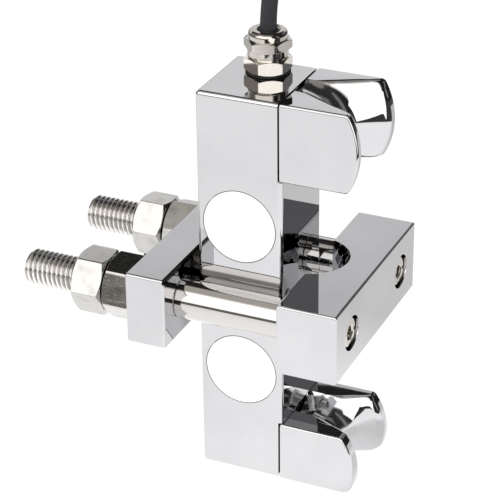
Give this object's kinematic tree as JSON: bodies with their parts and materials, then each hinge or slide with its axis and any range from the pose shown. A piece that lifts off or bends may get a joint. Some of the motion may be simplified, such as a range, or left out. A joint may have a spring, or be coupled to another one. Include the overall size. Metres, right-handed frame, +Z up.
{
  "type": "clamp type load cell",
  "caption": "Side-clamp wire rope load cell: polished bar body with grooved rope seats, a clamp block on tie rods with lock nuts, flush white covers and a cable gland with its lead.",
  "frame": {"origin": "bottom centre of the sensor body, on the surface that it stands on", "axes": "+Z up along the body and the rope, +X towards the rope seats and the clamp block, -Y towards the front covers"},
  "size_m": [0.1317, 0.1721, 0.1957],
  "materials": {
    "polished_steel": "mirror polished and plated",
    "rod_steel": "ground and nickel plated",
    "nut_steel": "bright, lightly scuffed",
    "screw_steel": "bright",
    "gland_nickel": "nickel plated, turned",
    "black_rubber": "matt",
    "white_cover": "plain white film on a flat disc",
    "gauge_foil": "etched foil on amber film",
    "board_laminate": "solder resist",
    "lead_insulation": "coloured wire insulation",
    "cable_jacket": "satin black jacket",
    "tie_nylon": "black"
  },
  "bodies": {
    "root": {"sensor_body": "polished_steel", "upper_rope_seat": "polished_steel", "lower_rope_seat": "polished_steel", "clamp_block": "polished_steel", "backing_bar": "polished_steel", "front_tie_rod": "rod_steel", "rear_tie_rod": "rod_steel", "load_button": "rod_steel", "front_inner_nut": "nut_steel", "front_lock_nut": "nut_steel", "rear_inner_nut": "nut_steel", "rear_lock_nut": "nut_steel", "front_clamp_screw": "screw_steel", "rear_clamp_screw": "screw_steel", "upper_seat_screws": "screw_steel", "lower_seat_screws": "screw_steel", "gland_body": "gland_nickel", "gland_cap_nut": "gland_nickel", "gland_o_ring": "black_rubber", "gland_seal": "black_rubber", "upper_front_cover": "white_cover", "upper_rear_cover": "white_cover", "lower_front_cover": "white_cover", "lower_rear_cover": "white_cover", "upper_gauges": "gauge_foil", "lower_gauges": "gauge_foil", "bridge_board": "board_laminate", "inner_leads": "lead_insulation", "cable_leads": "lead_insulation", "cable": "cable_jacket", "cable_coil": "cable_jacket", "coil_ties": "tie_nylon"}
  },
  "joints": []
}
